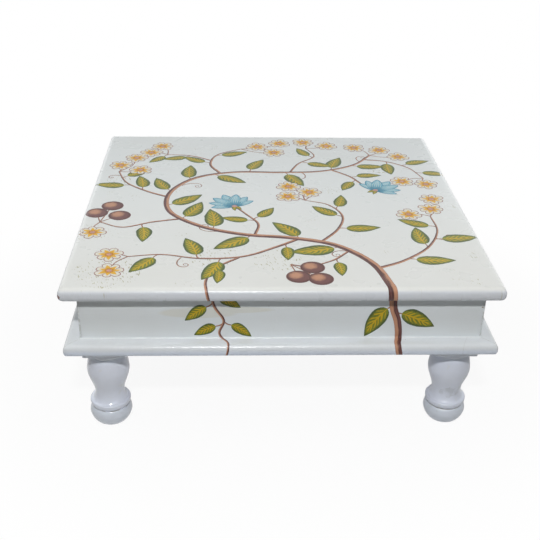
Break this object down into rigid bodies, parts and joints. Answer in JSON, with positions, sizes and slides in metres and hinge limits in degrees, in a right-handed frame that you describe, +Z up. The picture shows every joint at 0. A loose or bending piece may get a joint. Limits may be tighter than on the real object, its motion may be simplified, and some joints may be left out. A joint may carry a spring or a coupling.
{
  "type": "bajot low table",
  "caption": "Low square table: a nosed top board on a shallow mitred box with a nosed base moulding, on turned feet with square heads.",
  "frame": {"origin": "on the floor, under the middle of the table", "axes": "+Z up, -Y towards the front, +X to the right when seen from the front"},
  "size_m": [0.45, 0.45, 0.1848],
  "materials": {
    "painted_wood": "off-white gloss enamel over wood, lightly worn, with a hand-painted flowering creeper",
    "bare_wood": "sawn and planed brown hardwood, unfinished",
    "steel": "plain dull wood screws"
  },
  "bodies": {
    "root": {"top_board": "painted_wood", "apron_front": "painted_wood", "apron_right": "painted_wood", "apron_back": "painted_wood", "apron_left": "painted_wood", "moulding_front": "painted_wood", "moulding_right": "painted_wood", "moulding_back": "painted_wood", "moulding_left": "painted_wood", "foot_front_left": "painted_wood", "foot_front_right": "painted_wood", "foot_back_left": "painted_wood", "foot_back_right": "painted_wood", "corner_block_front_left": "bare_wood", "corner_block_front_right": "bare_wood", "corner_block_back_left": "bare_wood", "corner_block_back_right": "bare_wood", "batten_left": "bare_wood", "batten_right": "bare_wood", "glue_block_front": "bare_wood", "glue_block_back": "bare_wood", "glue_block_left_1": "bare_wood", "glue_block_left_2": "bare_wood", "glue_block_right_1": "bare_wood", "glue_block_right_2": "bare_wood", "batten_screw_left_1": "steel", "batten_screw_left_2": "steel", "batten_screw_left_3": "steel", "batten_screw_right_1": "steel", "batten_screw_right_2": "steel", "batten_screw_right_3": "steel", "moulding_screw_front_1": "steel", "moulding_screw_front_2": "steel", "moulding_screw_right_1": "steel", "moulding_screw_right_2": "steel", "moulding_screw_back_1": "steel", "moulding_screw_back_2": "steel", "moulding_screw_left_1": "steel", "moulding_screw_left_2": "steel"}
  },
  "joints": []
}
